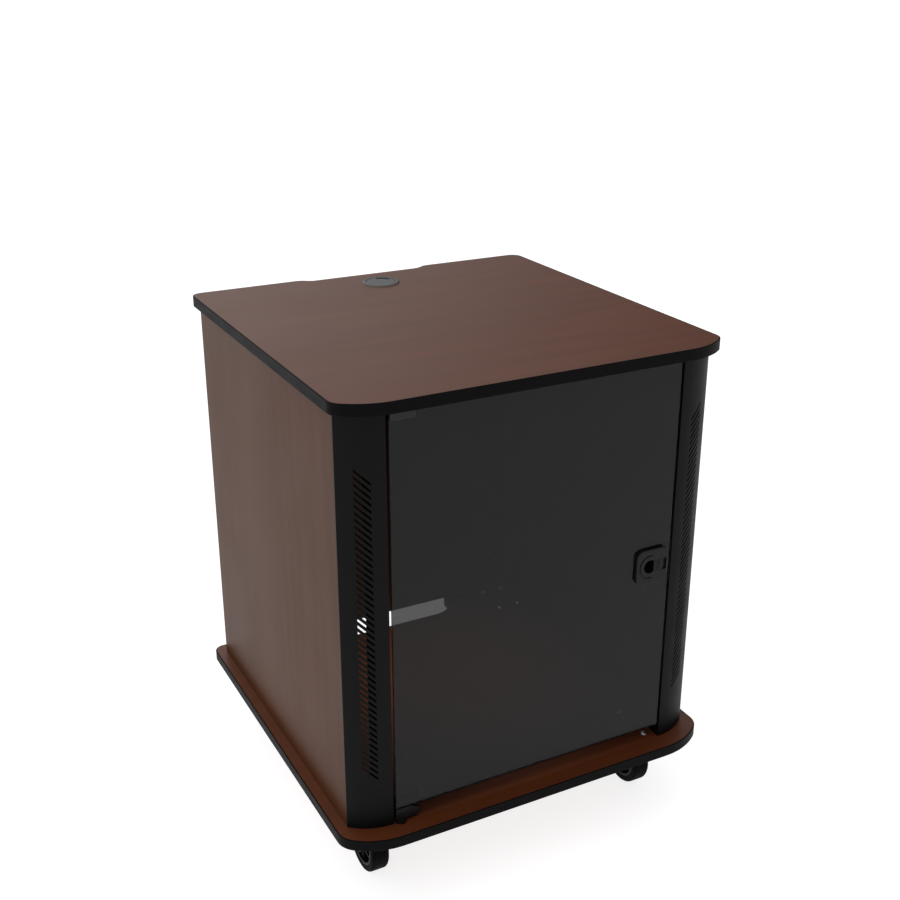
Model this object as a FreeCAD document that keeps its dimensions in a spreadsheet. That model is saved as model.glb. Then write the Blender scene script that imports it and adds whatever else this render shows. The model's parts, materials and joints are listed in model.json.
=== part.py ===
import FreeCAD, Part
import math
import os
from types import SimpleNamespace

import Sketcher
from FreeCAD import Placement, Rotation, Vector

# Mobile equipment lectern: a laminate cabinet on four swivel casters, with a
# smoked glass front door, vented steel corner posts and an inset rear door.
# Millimetres. +Z is up, the glass door faces -Y, and the origin is on the
# floor under the centre of the base board.

SIZES = (
    # Boards and carcass
    ("body_width", 660, "over the two side panels"),
    ("body_depth", 639, "front of the posts to the back of the sides"),
    ("body_height", 711, "clear height between the boards"),
    ("board_thick", 19, "top and base board thickness"),
    ("side_thick", 19, "side panel thickness"),
    ("top_side_lip", 10, "top board past a side panel"),
    ("top_front_lip", 22.5, "top board past the front of the posts"),
    ("base_side_lip", 20, "base board past a side panel"),
    ("base_front_lip", 34.5, "base board past the front of the posts"),
    ("back_lip", 24.5, "both boards past the back of the sides"),
    ("edge_band", 2, "banding thickness on the boards"),
    ("edge_ease", 0.8, "eased edge of the board banding"),
    ("thin_band", 1, "banding thickness on panels and rear door"),
    ("corner_run", 83, "start of the sweeping front corner of the top board"),
    ("corner_sweep", 117, "large radius of that corner"),
    ("corner_tight", 28, "small radius of that corner"),
    ("corner_back", 20, "radius of the back corners"),
    ("top_notch_mouth", 275, "cable notch in the top board, width"),
    ("top_notch_run", 36, "width of its curved end"),
    ("top_notch_deep", 13, "its depth"),
    ("base_notch_clear", 35, "base board's cable notch to a caster plate"),
    ("base_notch_run", 88, "width of that notch's curved end"),
    ("base_notch_deep", 88, "its depth"),
    ("dowel_radius", 4, "joining dowels"),
    ("dowel_in_board", 12, "dowel depth in a board"),
    ("dowel_in_panel", 18, "dowel depth in a side panel"),
    ("dowel_margin", 60, "first dowel from a panel's edge"),
    # Corner posts
    ("post_width", 69, "side panel face to the door side of the post"),
    ("post_radius", 100, "curve of the post face"),
    ("post_sheet", 2, "post sheet thickness"),
    ("post_wall", 84.5, "depth of the wall beside the door"),
    ("post_lip", 30, "lip along the inside of the side panel"),
    ("vent_pitch", 11, "slot spacing"),
    ("vent_gap", 3, "slot width"),
    ("vent_reach", 23.5, "slot length, side to side"),
    ("vent_side", 22, "side panel face to the first end of a slot"),
    ("vent_top", 85.5, "underside of the top board to the first slot"),
    ("vent_bottom", 86, "least room under the last slot"),
    ("bracket_leg", 25, "legs and width of the post brackets"),
    ("bracket_setback", 40, "post face to a bracket"),
    ("bracket_screw", 2.2, "radius of the bracket screws"),
    ("screw_head", 2.4, "height of a screw head"),
    ("screw_bite", 12, "depth of a screw in a board"),
    ("rivet_head", 1.5, "height of a rivet head"),
    # Cable grommet
    ("grommet_hole", 60, "hole in the top board"),
    ("grommet_back", 82, "hole centre to the back of the board"),
    ("grommet_lip", 5, "flange past the hole"),
    ("grommet_seat", 0.5, "depth of the flange's seat in the board"),
    ("grommet_rise", 2.5, "flange height over the board"),
    ("grommet_fit", 0.2, "sleeve and flange to the wood"),
    ("grommet_wall", 2.2, "sleeve wall"),
    ("cap_thick", 2.4, "cap thickness"),
    ("cap_clearance", 0.4, "cap to sleeve"),
    ("cap_sink", 0.3, "cap below the flange"),
    ("cap_ledge", 4, "ledge under the cap"),
    ("cap_rest", 0.2, "cap to that ledge"),
    ("cable_slot_edge", 3, "cable slot to the cap's edge"),
    ("cable_slot", 7, "width of the curved cable slot"),
    # Glass door
    ("door_gap", 5, "glass to post, each side"),
    ("glass_thick", 5, "glass thickness"),
    ("door_bottom_gap", 25.5, "base board to glass"),
    ("door_top_gap", 8, "glass to top board"),
    ("glass_corner", 3, "radius of the glass corners"),
    ("pivot_inset", 9, "glass edge to hinge pin"),
    ("pivot_pin", 3.95, "hinge pin radius"),
    ("pin_clearance", 0.05, "running clearance on the radius"),
    ("bush_wall", 3, "wall of the pivot bushes"),
    ("bush_deep", 14, "bush depth in a board"),
    ("bush_flange", 2.5, "bush flange past its wall"),
    ("bush_head", 2, "bush flange thickness"),
    ("clamp_width", 41, "width of the hinge fittings"),
    ("clamp_skin", 4, "wall of the hinge fittings"),
    ("clamp_grip", 9.7, "upper fitting over the glass"),
    ("clamp_clear", 3, "upper fitting to the top board"),
    ("shoe_clear", 5, "lower fitting to the base board"),
    ("shoe_lip", 22, "lower fitting behind the glass"),
    ("pad_thick", 0.5, "rubber pads round the glass"),
    # Thumb latch
    ("latch_edge", 37.5, "glass edge to latch centre"),
    ("latch_up", 353.3, "base board to latch centre"),
    ("latch_width", 63, "latch plate, side to side"),
    ("latch_height", 64, "latch plate, top to bottom"),
    ("latch_corner", 14, "radius of its corners"),
    ("latch_proud", 6, "plate thickness in front of the glass"),
    ("latch_behind", 12, "housing depth behind the glass"),
    ("latch_screw", 1.9, "latch screw radius"),
    ("latch_screw_clear", 6.5, "latch screws to the boss"),
    ("cutout_clear", 0.5, "glass cutout round the boss"),
    ("boss_left", 22, "housing boss, left of centre"),
    ("boss_right", 26, "housing boss, right of centre"),
    ("boss_high", 36, "housing boss height"),
    ("cup_offset", 4.5, "finger cup, left of centre"),
    ("cup_radius", 12, "finger cup radius"),
    ("ring_radius", 21.5, "outside of the ring groove"),
    ("ring_gap", 2.2, "width of the ring groove"),
    ("ring_deep", 1.6, "depth of the ring groove"),
    ("tab_start", 5, "thumb tab, right of centre"),
    ("tab_width", 16, "thumb tab width"),
    ("tab_height", 20, "thumb tab height"),
    ("tab_thick", 3, "thumb tab thickness"),
    ("neck_start", 9, "neck of the tab, right of centre"),
    ("neck_width", 7, "neck, side to side"),
    ("neck_height", 7, "neck, top to bottom"),
    ("latch_travel", 7, "throw of the bolt"),
    ("slide_clearance", 0.3, "round the tab and the bolt"),
    ("bolt_height", 12, "bolt section, top to bottom"),
    ("bolt_thick", 5, "bolt section, front to back"),
    ("bolt_clear", 3.2, "back of the glass to the bolt"),
    ("bolt_nose", 1.5, "bolt past the glass edge when drawn back"),
    ("strike_thick", 1.2, "strike plate thickness"),
    ("strike_height", 80, "strike plate height"),
    ("strike_deep", 24, "strike plate, front to back"),
    # Rear door
    ("rear_gap", 5, "gap round the rear door"),
    ("rear_thick", 16, "rear door thickness"),
    ("hinge_up", 100, "rear hinge from a board"),
    ("cup_hinge_radius", 17.5, "hinge cup in the rear door"),
    ("cup_hinge_deep", 11.5, "depth of that cup"),
    ("cup_hinge_edge", 5, "cup to the door's edge"),
    ("lock_edge", 25, "rear lock to the door's edge"),
    ("lock_barrel", 9.5, "radius of the lock barrel"),
    ("lock_plug", 6, "radius of the turning plug"),
    ("cam_length", 26, "lock cam from its axis"),
    ("cam_thick", 3, "lock cam thickness"),
    ("keeper_clear", 0.8, "cam to keeper"),
    ("hinge_screw", 1.9, "rear hinge screw radius"),
    ("hinge_screw_rise", 16, "those screws from the hinge's centre"),
    ("hinge_plate_back", 32, "those screws from the inside of the rear door"),
    ("hinge_sheet", 2, "hinge plate thickness"),
    ("hinge_arm_rise", 13, "side panel to the top of a hinge arm"),
    # Casters
    ("caster_head", 29, "top of a wheel to the base board"),
    ("caster_inset", 85, "casters from the base's side"),
    ("caster_front", 90, "front casters from the base's front"),
    ("caster_back", 88, "rear casters from the base's back"),
    ("plate_edge_x", 7.75, "caster bolts to the plate's side"),
    ("plate_edge_y", 9.5, "caster bolts to the plate's ends"),
    ("plate_thick", 2.5, "caster plate thickness"),
    ("bolt_span_x", 44.5, "caster bolts, side to side"),
    ("bolt_span_y", 73, "caster bolts, front to back"),
    ("bolt_radius", 3.1, "caster bolt shank"),
    ("bolt_head", 6.5, "radius of a bolt head"),
    ("bolt_head_high", 3.6, "height of a bolt head"),
    ("bolt_end", 2, "bolt past its nut"),
    ("nut_high", 5, "nut height"),
    ("wheel_radius", 50, "wheel radius"),
    ("wheel_width", 32, "tread width"),
    ("hub_radius", 38, "inside of the tyre"),
    ("axle_radius", 5, "axle radius"),
    ("kingpin_radius", 5, "swivel pin radius"),
    ("trail", 38, "swivel axis to axle"),
    ("fork_sheet", 3, "fork leg thickness"),
    ("fork_side_gap", 2, "tread to fork leg"),
    ("crown_radius", 24, "fork crown radius"),
    ("crown_thick", 4, "fork crown thickness"),
    ("race_height", 6, "fixed bearing race under the plate"),
    ("race_gap", 0.5, "race to crown"),
    ("tyre_shoulder", 5, "rounded edge of the tread"),
    ("wheel_web", 6, "thickness of the wheel's web"),
)


# ---- Sizes and formulas ---------------------------------------------------

class Length:
    """A size: its number now, and the sheet formula that drives it."""

    def __init__(self, number, formula):
        self.number = float(number)
        self.formula = formula

    def __add__(self, other):
        other = as_length(other)
        return Length(self.number + other.number, f"({self.formula} + {other.formula})")

    def __sub__(self, other):
        other = as_length(other)
        return Length(self.number - other.number, f"({self.formula} - {other.formula})")

    def __mul__(self, other):
        other = as_length(other)
        return Length(self.number * other.number, f"({self.formula} * {other.formula})")

    def __truediv__(self, other):
        other = as_length(other)
        return Length(self.number / other.number, f"({self.formula} / {other.formula})")

    def __neg__(self):
        return Length(-self.number, f"(0 - {self.formula})")

    def root(self):
        return Length(math.sqrt(self.number), f"sqrt({self.formula})")

    def floor(self):
        return Length(math.floor(self.number), f"floor({self.formula})")

    __radd__ = __add__
    __rmul__ = __mul__


def as_length(value):
    if isinstance(value, Length):
        return value
    return Length(value, f"({value})")


def bind(item, prop, size):
    item.setExpression(prop, as_length(size).formula)


doc = FreeCAD.newDocument("lectern")
sheet = doc.addObject("Spreadsheet::Sheet", "sizes")
for row, (alias, value, meaning) in enumerate(SIZES, start=1):
    sheet.set(f"A{row}", alias)
    sheet.set(f"B{row}", str(value))
    sheet.set(f"C{row}", meaning)
    sheet.setAlias(f"B{row}", alias)
doc.recompute()

S = SimpleNamespace()
for alias, value, meaning in SIZES:
    setattr(S, alias, Length(sheet.get(alias), f"sizes.{alias}"))


# ---- Building blocks ------------------------------------------------------

TURN_TO = {
    "X": Rotation(Vector(0, 1, 0), 90),
    "Y": Rotation(Vector(1, 0, 0), -90),
    "Z": Rotation(),
}
nodes = []


def node(item, label):
    """Names a finished sub-part; its label is also its file's name."""
    item.Label = label
    nodes.append(item)
    return item


def place(item, at):
    for axis, size in zip("xyz", at):
        bind(item, f"Placement.Base.{axis}", size)


def block(low, high):
    """A box between its lowest and its highest corner."""
    item = doc.addObject("Part::Box", "block")
    for prop, start, end in zip(("Length", "Width", "Height"), low, high):
        bind(item, prop, as_length(end) - start)
    place(item, low)
    return item


def rod(axis, at, start, end, radius, end_radius=None):
    """A round bar along an axis, or a cone where the end radius differs.

    at holds the two coordinates across the axis, in X, Y, Z order."""
    kind = "Part::Cylinder" if end_radius is None else "Part::Cone"
    item = doc.addObject(kind, "rod")
    if end_radius is None:
        bind(item, "Radius", radius)
    else:
        bind(item, "Radius1", radius)
        bind(item, "Radius2", end_radius)
    bind(item, "Height", as_length(end) - start)
    item.Placement = Placement(Vector(), TURN_TO[axis])
    across = list(at)
    across.insert("XYZ".index(axis), start)
    place(item, across)
    return item


def join(*items):
    item = doc.addObject("Part::MultiFuse", "join")
    item.Shapes = list(items)
    item.Refine = True
    return item


def group(*items):
    """Identical pieces that share one node, as separate solids."""
    item = doc.addObject("Part::Compound", "group")
    item.Links = list(items)
    return item


def cut(base, *tools):
    item = doc.addObject("Part::Cut", "cut")
    item.Base = base
    item.Tool = tools[0] if len(tools) == 1 else join(*tools)
    item.Refine = True
    return item


def common(first, second):
    item = doc.addObject("Part::Common", "common")
    item.Base = first
    item.Tool = second
    return item


def mirrored(source):
    """The same piece on the other side of the centre line."""
    item = doc.addObject("Part::Mirroring", "mirrored")
    item.Source = source
    item.Normal = Vector(1, 0, 0)
    return item


def arc(radius, centre):
    """A rounded stretch of an outline: its radius and where its centre is."""
    return SimpleNamespace(radius=radius, centre=[as_length(c).number for c in centre])


def draw(sketch, outline):
    """Draws a closed outline of points, with an arc between two of them where given."""
    corners = [piece for piece in outline if isinstance(piece, tuple)]
    bends = [None] * len(corners)
    count = 0
    for piece in outline:
        if isinstance(piece, tuple):
            count += 1
        else:
            bends[count - 1] = piece
    ends = []
    for index, bend in enumerate(bends):
        start = Vector(*[as_length(c).number for c in corners[index]])
        end = Vector(*[as_length(c).number for c in corners[(index + 1) % len(corners)]])
        if bend is None:
            sketch.addGeometry(Part.LineSegment(start, end))
            ends.append((1, 2))
            continue
        centre = Vector(*bend.centre)
        turning_left = (start - centre).cross(end - centre).z > 0
        first, last = (start, end) if turning_left else (end, start)
        angles = [math.atan2(p.y - centre.y, p.x - centre.x) for p in (first, last)]
        circle = Part.Circle(centre, Vector(0, 0, 1), as_length(bend.radius).number)
        sketch.addGeometry(Part.ArcOfCircle(circle, *angles))
        ends.append((1, 2) if turning_left else (2, 1))
    for index, corner in enumerate(corners):
        before = (index - 1) % len(corners)
        sketch.addConstraint(
            Sketcher.Constraint("Coincident", before, ends[before][1], index, ends[index][0]))
        for direction, size in zip("XY", corner):
            size = as_length(size)
            name = f"{direction.lower()}{index}"
            where = sketch.addConstraint(Sketcher.Constraint(
                f"Distance{direction}", -1, 1, index, ends[index][0], size.number))
            sketch.renameConstraint(where, name)
            bind(sketch, f"Constraints.{name}", size)
        if bends[index] is not None:
            radius = as_length(bends[index].radius)
            where = sketch.addConstraint(Sketcher.Constraint("Radius", index, radius.number))
            sketch.renameConstraint(where, f"radius{index}")
            bind(sketch, f"Constraints.radius{index}", radius)


def sketch_in(body, plane, offset=0):
    """A sketch on one of the body's own origin planes, moved along its normal."""
    sketch = body.newObject("Sketcher::SketchObject", "sketch")
    origin = [f for f in body.Origin.OriginFeatures if f.Role == f"{plane}_Plane"][0]
    sketch.AttachmentSupport = [(origin, "")]
    sketch.MapMode = "FlatFace"
    bind(sketch, "AttachmentOffset.Base.z", offset)
    return sketch


def prism(plane, start, end, outline):
    """A body padded from an outline between two heights above a plane.

    The XZ plane's normal is -Y, so there both heights are turned round."""
    body = doc.addObject("PartDesign::Body", "body")
    low = -as_length(end) if plane == "XZ" else as_length(start)
    sketch = sketch_in(body, plane, low)
    draw(sketch, outline)
    pad = body.newObject("PartDesign::Pad", "pad")
    pad.Profile = sketch
    bind(pad, "Length", as_length(end) - start)
    sketch.Visibility = False
    body.Tip = pad
    return body


def turned(axis, at, outline):
    """A body turned from half a section: points are (radius, distance along the axis)."""
    body = doc.addObject("PartDesign::Body", "body")
    sketch = sketch_in(body, "XZ")
    draw(sketch, outline)
    turning = body.newObject("PartDesign::Revolution", "revolution")
    turning.Profile = sketch
    turning.ReferenceAxis = (sketch, ["V_Axis"])
    turning.Angle = 360
    body.Tip = turning
    body.Placement = Placement(Vector(), TURN_TO[axis])
    place(body, at)
    return body


# ---- Levels and lines that several pieces share ---------------------------

base_under = S.wheel_radius * 2 + S.caster_head
base_top = base_under + S.board_thick
top_under = base_top + S.body_height
top_face = top_under + S.board_thick

back = (S.body_depth + S.base_front_lip + S.back_lip) / 2
base_front = -back
face = base_front + S.base_front_lip
top_front = face - S.top_front_lip
panel_back = back - S.back_lip

side_out = S.body_width / 2
base_half = side_out + S.base_side_lip
top_half = side_out + S.top_side_lip
side_in = side_out - S.side_thick
post_in = side_out - S.post_width
post_turn = face + S.post_radius
arc_end = post_turn - (S.post_radius * S.post_radius - S.post_width * S.post_width).root()
panel_front = arc_end + S.post_sheet

glass_side = post_in - S.door_gap
glass_back = face + S.glass_thick
glass_low = base_top + S.door_bottom_gap
glass_high = top_under - S.door_top_gap
pivot_x = S.pivot_inset - glass_side
pivot_y = face + S.glass_thick / 2

latch_x = glass_side - S.latch_edge
latch_z = base_top + S.latch_up
plate_face = face - S.latch_proud
bolt_front = glass_back + S.bolt_clear
bolt_back = bolt_front + S.bolt_thick

caster_x = base_half - S.caster_inset
plate_width = S.bolt_span_x + S.plate_edge_x * 2
plate_depth = S.bolt_span_y + S.plate_edge_y * 2

PAST = 1  # how far a cutter reaches past what it cuts


# ---- Boards and their banding ---------------------------------------------

def board_outline(half_width, front, grow, mouth, run, deep, inset):
    """Half of a board's edge, from the front line round to the notch, then mirrored.

    The front corner is a wide sweep that runs into a tight turn; the back has
    a cable notch with S-shaped ends. inset moves the whole edge inwards."""
    corner_run = S.corner_run + grow
    sweep = S.corner_sweep + grow
    tight = S.corner_tight + grow
    sweep_x = half_width - corner_run
    sweep_y = front + sweep
    between = sweep - tight
    aside = corner_run - tight
    down = (between * between - aside * aside).root()
    share = (sweep - inset) / between
    tight_y = sweep_y - down
    rounding = S.corner_back
    bend = (run * run + deep * deep) / (deep * 4)
    half_mouth = mouth / 2
    slope = (bend - inset) / bend
    right = [
        (sweep_x, front + inset),
        arc(sweep - inset, (sweep_x, sweep_y)),
        (sweep_x + aside * share, sweep_y - down * share),
        arc(tight - inset, (half_width - tight, tight_y)),
        (half_width - inset, tight_y),
        (half_width - inset, back - rounding),
        arc(rounding - inset, (half_width - rounding, back - rounding)),
        (half_width - rounding, back - inset),
        (half_mouth, back - inset),
        arc(bend - inset, (half_mouth, back - bend)),
        (half_mouth - run / 2 * slope, back - bend + (bend - deep / 2) * slope),
        arc(bend + inset, (half_mouth - run, back - deep + bend)),
        (half_mouth - run, back - deep - inset),
    ]
    left = []
    for piece in reversed(right):
        if isinstance(piece, tuple):
            left.append((-piece[0], piece[1]))
        else:
            left.append(arc(piece.radius, (-piece.centre[0], piece.centre[1])))
    return right + left


def eased(solid, size, level_low, level_high):
    """Rounds the edges that lie in the two flat faces of a board blank."""
    doc.recompute()
    item = doc.addObject("Part::Fillet", "eased")
    item.Base = solid
    levels = (level_low.number, level_high.number)
    picked = []
    for index, edge in enumerate(solid.Shape.Edges, start=1):
        box = edge.BoundBox
        if box.ZLength < 0.01 and min(abs(box.ZMin - level) for level in levels) < 0.01:
            picked.append((index, size.number, size.number))
    item.Edges = picked
    return item


def board(low, half_width, front, grow, notch):
    """A board core and the banding round it."""
    high = low + S.board_thick
    shape = (half_width, front, grow, *notch)
    core = prism("XY", low, high, board_outline(*shape, S.edge_band))
    blank = prism("XY", low, high, board_outline(*shape, as_length(0)))
    return core, cut(eased(blank, S.edge_ease, low, high), core)


base_mouth = (caster_x - plate_width / 2 - S.base_notch_clear) * 2
base_core, base_band = board(
    base_under, base_half, base_front, S.base_side_lip - S.top_side_lip,
    (base_mouth, S.base_notch_run, S.base_notch_deep))
top_core, top_band = board(
    top_under, top_half, top_front, as_length(0),
    (S.top_notch_mouth, S.top_notch_run, S.top_notch_deep))
node(base_band, "base_edge_band")
node(top_band, "top_edge_band")


# ---- Dowels, side panels --------------------------------------------------

def dowels(side):
    """Six dowels that join one side panel to the boards."""
    middle = (side_in + side_out) / 2 * side
    rows = (panel_front + S.dowel_margin, (panel_front + panel_back) / 2,
            panel_back - S.dowel_margin)
    made = []
    for y in rows:
        made.append(rod("Z", (middle, y), base_top - S.dowel_in_board,
                        base_top + S.dowel_in_panel, S.dowel_radius))
        made.append(rod("Z", (middle, y), top_under - S.dowel_in_panel,
                        top_under + S.dowel_in_board, S.dowel_radius))
    return made


right_dowels = group(*dowels(1))
left_dowels = group(*dowels(-1))
node(group(right_dowels, left_dowels), "panel_dowels")

right_panel_blank = block((side_in, panel_front, base_top),
                          (side_out, panel_back - S.thin_band, top_under))
right_panel_band = block((side_in, panel_back - S.thin_band, base_top),
                         (side_out, panel_back, top_under))
node(group(right_panel_band, mirrored(right_panel_band)), "side_edge_bands")


# ---- Corner posts ---------------------------------------------------------

def vent_slots():
    """A column of slanting slots, higher at the outer end."""
    outer = side_out - S.vent_side
    inner = outer - S.vent_reach
    high = top_under - S.vent_top
    low = high - S.vent_reach
    tall = S.vent_gap * math.sqrt(2)
    steps = ((low - tall - base_top - S.vent_bottom) / S.vent_pitch).floor()
    body = prism("XZ", face - PAST, arc_end - S.post_sheet,
                 [(outer, high), (inner, low), (inner, low - tall), (outer, high - tall)])
    pattern = body.newObject("PartDesign::LinearPattern", "pattern")
    pattern.Originals = [body.Tip]
    pattern.Direction = (body.Group[0], ["V_Axis"])
    pattern.Reversed = True
    bind(pattern, "Length", S.vent_pitch * steps)
    bind(pattern, "Occurrences", steps + 1)
    body.Tip = pattern
    return body


def post_sheet():
    """One folded sheet: curved face, wall beside the door, and a lip round the panel."""
    span = (base_top, top_under)
    corner = block((post_in, face, span[0]), (side_out, panel_front, span[1]))
    outside = rod("Z", (post_in, post_turn), *span, S.post_radius)
    inside = rod("Z", (post_in, post_turn), *span, S.post_radius - S.post_sheet)
    curved = cut(common(corner, outside), inside)
    lip_x = side_in - S.post_sheet
    wall = block((post_in, face + S.post_sheet / 2, span[0]),
                 (post_in + S.post_sheet, face + S.post_wall, span[1]))
    web = block((lip_x, arc_end, span[0]), (side_out, panel_front, span[1]))
    lip = block((lip_x, arc_end, span[0]), (side_in, panel_front + S.post_lip, span[1]))
    return join(curved, wall, web, lip)


vented_post = cut(post_sheet(), vent_slots())

leg = S.bracket_leg
bracket_x = post_in + S.post_sheet
bracket_y = face + S.bracket_setback
bracket_middle = bracket_y + leg / 2


def bracket(level, up):
    """An angle bracket behind the post wall, on a board."""
    flat = level + S.post_sheet * up
    tip = level + leg * up
    low, high = (level, tip) if up > 0 else (tip, level)
    upright = block((bracket_x, bracket_y, low), (bracket_x + S.post_sheet, bracket_y + leg, high))
    low, high = (level, flat) if up > 0 else (flat, level)
    foot = block((bracket_x, bracket_y, low), (bracket_x + leg, bracket_y + leg, high))
    return join(upright, foot)


def bracket_screws(level, up):
    """One pan-head screw into the board and one through the post wall."""
    across = (bracket_x + leg * 0.6, bracket_middle)
    flat = level + S.post_sheet * up
    head = flat + S.screw_head * up
    tip = level - S.screw_bite * up
    low, high = (flat, head) if up > 0 else (head, flat)
    upper = rod("Z", across, low, high, S.bracket_screw * 2)
    low, high = (tip, head) if up > 0 else (head, tip)
    shank = rod("Z", across, low, high, S.bracket_screw)
    height = level + leg * 0.6 * up
    under_head = bracket_x + S.post_sheet
    rivet_end = under_head + S.rivet_head
    rivet = rod("X", (bracket_middle, height), post_in, rivet_end, S.bracket_screw)
    rivet_head = rod("X", (bracket_middle, height), under_head, rivet_end, S.bracket_screw * 1.8)
    return join(upper, shank), join(rivet, rivet_head)


right_screws = group(*bracket_screws(base_top, 1), *bracket_screws(top_under, -1))
left_screws = mirrored(right_screws)
right_brackets = cut(group(bracket(base_top, 1), bracket(top_under, -1)), right_screws)
node(group(right_brackets, mirrored(right_brackets)), "post_brackets")
node(group(right_screws, left_screws), "bracket_screws")
riveted_post = cut(vented_post, right_screws)
node(mirrored(riveted_post), "left_corner_post")


# ---- Cable grommet --------------------------------------------------------

grommet_y = back - S.grommet_back
sleeve_out = S.grommet_hole / 2 - S.grommet_fit
sleeve_in = sleeve_out - S.grommet_wall
sleeve_low = top_under + S.grommet_fit
flange_out = S.grommet_hole / 2 + S.grommet_lip
flange_low = top_face - S.grommet_seat
flange_top = top_face + S.grommet_rise
flange_rim = flange_top - S.grommet_rise * 0.75
cap_top = flange_top - S.cap_sink
cap_under = cap_top - S.cap_thick
ledge_in = sleeve_in - S.cap_ledge
ledge_top = cap_under - S.cap_rest
ledge_low = ledge_top - S.grommet_wall
cap_radius = sleeve_in - S.cap_clearance
cap_rim = S.cap_thick / 3

grommet_sleeve = turned("Z", (as_length(0), grommet_y, as_length(0)), [
    (sleeve_out, sleeve_low), (sleeve_out, flange_low), (flange_out, flange_low),
    (flange_out, flange_rim), (flange_out - S.grommet_rise, flange_top),
    (sleeve_in, flange_top), (sleeve_in, ledge_top), (ledge_in, ledge_top),
    (ledge_in, ledge_low), (sleeve_in, ledge_low), (sleeve_in, sleeve_low)])
node(grommet_sleeve, "grommet_sleeve")

slot_out = cap_radius - S.cable_slot_edge
slot_in = slot_out - S.cable_slot
CABLE_SLOT_SWEEP = 75
CABLE_SLOT_START = 15


def slot_sector(radius):
    item = rod("Z", (as_length(0), grommet_y), cap_under - PAST, cap_top + PAST, radius)
    item.Angle = CABLE_SLOT_SWEEP
    item.Placement.Rotation = Rotation(Vector(0, 0, 1), CABLE_SLOT_START)
    return item


cap_blank = turned("Z", (as_length(0), grommet_y, as_length(0)), [
    (0, cap_under), (cap_radius, cap_under), (cap_radius, cap_top - cap_rim),
    (cap_radius - cap_rim, cap_top), (0, cap_top)])
node(cut(cap_blank, cut(slot_sector(slot_out), slot_sector(slot_in))), "grommet_cap")
grommet_bore = join(
    rod("Z", (as_length(0), grommet_y), top_under, top_face, S.grommet_hole / 2),
    rod("Z", (as_length(0), grommet_y), flange_low, top_face, flange_out + S.grommet_fit))


# ---- Front door pivots ----------------------------------------------------

bore = S.pivot_pin + S.pin_clearance
bush_out = bore + S.bush_wall
bush_flange_out = bush_out + S.bush_flange


def pivot_bush(level, up):
    """A flanged bush pressed into a board; up is +1 where it stands in the base."""
    return turned("Z", (pivot_x, pivot_y, level), [
        (bore, S.bush_head * up), (bush_flange_out, S.bush_head * up), (bush_flange_out, 0),
        (bush_out, 0), (bush_out, S.bush_deep * -up), (bore, S.bush_deep * -up)])


node(pivot_bush(base_top, 1), "lower_pivot_bush")
node(pivot_bush(top_under, -1), "upper_pivot_bush")
lower_bush_bore = rod("Z", (pivot_x, pivot_y), base_top - S.bush_deep, base_top, bush_out)
upper_bush_bore = rod("Z", (pivot_x, pivot_y), top_under, top_under + S.bush_deep, bush_out)

washer_out = bush_out + S.bush_flange * 0.4
washer_thick = S.shoe_clear - S.bush_head - S.pin_clearance * 2
washer = turned("Z", (pivot_x, pivot_y, base_top + S.bush_head), [
    (bore, 0), (washer_out, 0), (washer_out, washer_thick), (bore, washer_thick)])
node(washer, "pivot_thrust_washer")


# ---- Casters --------------------------------------------------------------

plate_under = base_under - S.plate_thick
race_under = plate_under - S.race_height
crown_top = race_under - S.race_gap
crown_under = crown_top - S.crown_thick
leg_in = S.wheel_width / 2 + S.fork_side_gap
leg_out = leg_in + S.fork_sheet
running = S.pin_clearance

CASTERS = (
    ("front_left", -1, base_front + S.caster_front),
    ("front_right", 1, base_front + S.caster_front),
    ("rear_left", -1, back - S.caster_back),
    ("rear_right", 1, back - S.caster_back),
)


def caster_bolt(x, y):
    """A round-headed bolt through the base board and the caster plate."""
    head = turned("Z", (x, y, base_top), [
        (0, 0), (S.bolt_head, 0), (S.bolt_head, S.bolt_head_high * 0.3),
        (S.bolt_head * 0.6, S.bolt_head_high * 0.9), (0, S.bolt_head_high)])
    shank = rod("Z", (x, y), plate_under - S.nut_high - S.bolt_end, base_top, S.bolt_radius)
    return join(head, shank)


def caster_nut(x, y):
    nut = doc.addObject("Part::Prism", "nut")
    nut.Polygon = 6
    bind(nut, "Circumradius", S.bolt_radius * 2)
    bind(nut, "Height", S.nut_high)
    place(nut, (x, y, plate_under - S.nut_high))
    return nut


bolts = []
nuts = []
for name, side, caster_y in CASTERS:
    for along in (-1, 1):
        for across in (-1, 1):
            where = (caster_x * side + S.bolt_span_x / 2 * across,
                     caster_y + S.bolt_span_y / 2 * along)
            bolts.append(caster_bolt(*where))
            nuts.append(caster_nut(*where))
caster_bolts = node(group(*bolts), "caster_bolts")
node(cut(group(*nuts), caster_bolts), "caster_nuts")


def caster_plate(x, y):
    """The fixed plate, its bearing race and the riveted swivel pin."""
    half_x = plate_width / 2
    half_y = plate_depth / 2
    plate = block((x - half_x, y - half_y, plate_under), (x + half_x, y + half_y, base_under))
    swivel = turned("Z", (x, y, as_length(0)), [
        (0, plate_under), (S.crown_radius - 1, plate_under), (S.crown_radius - 4, race_under),
        (S.kingpin_radius, race_under), (S.kingpin_radius, crown_under - 0.6),
        (S.kingpin_radius + 4, crown_under - 0.6), (S.kingpin_radius + 3, crown_under - 3.6),
        (0, crown_under - 3.6)])
    return join(plate, swivel)


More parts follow.
